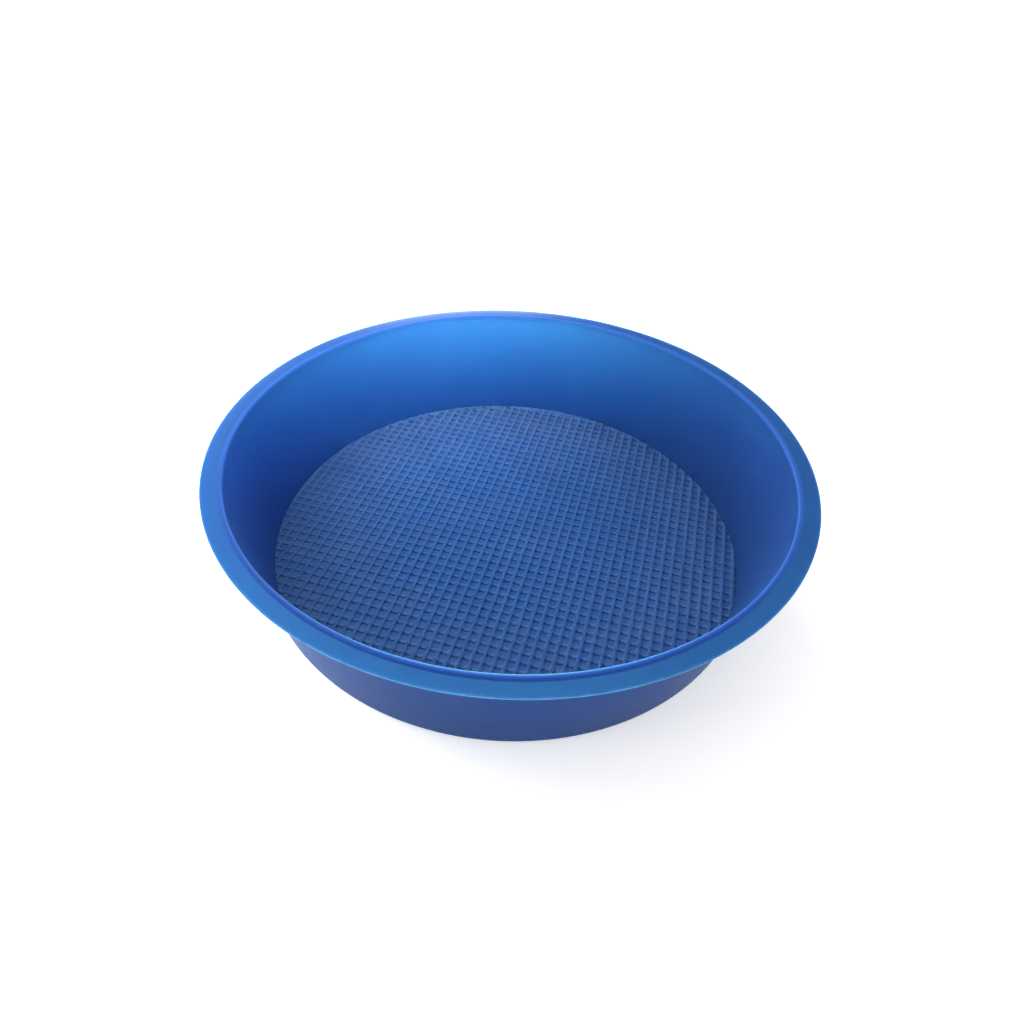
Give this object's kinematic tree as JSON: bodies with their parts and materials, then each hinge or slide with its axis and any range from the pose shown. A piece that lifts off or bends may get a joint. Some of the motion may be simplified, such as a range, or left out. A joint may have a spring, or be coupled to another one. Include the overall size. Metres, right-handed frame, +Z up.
{
  "type": "gold pan",
  "caption": "Shallow round plastic prospecting pan with a flat flange, steep plain wall and a square trap net held in a groove over its closed floor.",
  "frame": {"origin": "on the ground under the middle of the pan", "axes": "+Z up through the middle of the pan, out of its mouth"},
  "size_m": [0.3556, 0.3556, 0.0774],
  "materials": {
    "pan_plastic": "satin moulded",
    "net_plastic": "satin extruded"
  },
  "bodies": {
    "root": {"pan_body": "pan_plastic", "lower_strand_01": "net_plastic", "lower_strand_02": "net_plastic", "lower_strand_03": "net_plastic", "lower_strand_04": "net_plastic", "lower_strand_05": "net_plastic", "lower_strand_06": "net_plastic", "lower_strand_07": "net_plastic", "lower_strand_08": "net_plastic", "lower_strand_09": "net_plastic", "lower_strand_10": "net_plastic", "lower_strand_11": "net_plastic", "lower_strand_12": "net_plastic", "lower_strand_13": "net_plastic", "lower_strand_14": "net_plastic", "lower_strand_15": "net_plastic", "lower_strand_16": "net_plastic", "lower_strand_17": "net_plastic", "lower_strand_18": "net_plastic", "lower_strand_19": "net_plastic", "lower_strand_20": "net_plastic", "lower_strand_21": "net_plastic", "lower_strand_22": "net_plastic", "lower_strand_23": "net_plastic", "lower_strand_24": "net_plastic", "upper_strand_01": "net_plastic", "upper_strand_02": "net_plastic", "upper_strand_03": "net_plastic", "upper_strand_04": "net_plastic", "upper_strand_05": "net_plastic", "upper_strand_06": "net_plastic", "upper_strand_07": "net_plastic", "upper_strand_08": "net_plastic", "upper_strand_09": "net_plastic", "upper_strand_10": "net_plastic", "upper_strand_11": "net_plastic", "upper_strand_12": "net_plastic", "upper_strand_13": "net_plastic", "upper_strand_14": "net_plastic", "upper_strand_15": "net_plastic", "upper_strand_16": "net_plastic", "upper_strand_17": "net_plastic", "upper_strand_18": "net_plastic", "upper_strand_19": "net_plastic", "upper_strand_20": "net_plastic", "upper_strand_21": "net_plastic", "upper_strand_22": "net_plastic", "upper_strand_23": "net_plastic", "upper_strand_24": "net_plastic"}
  },
  "joints": []
}
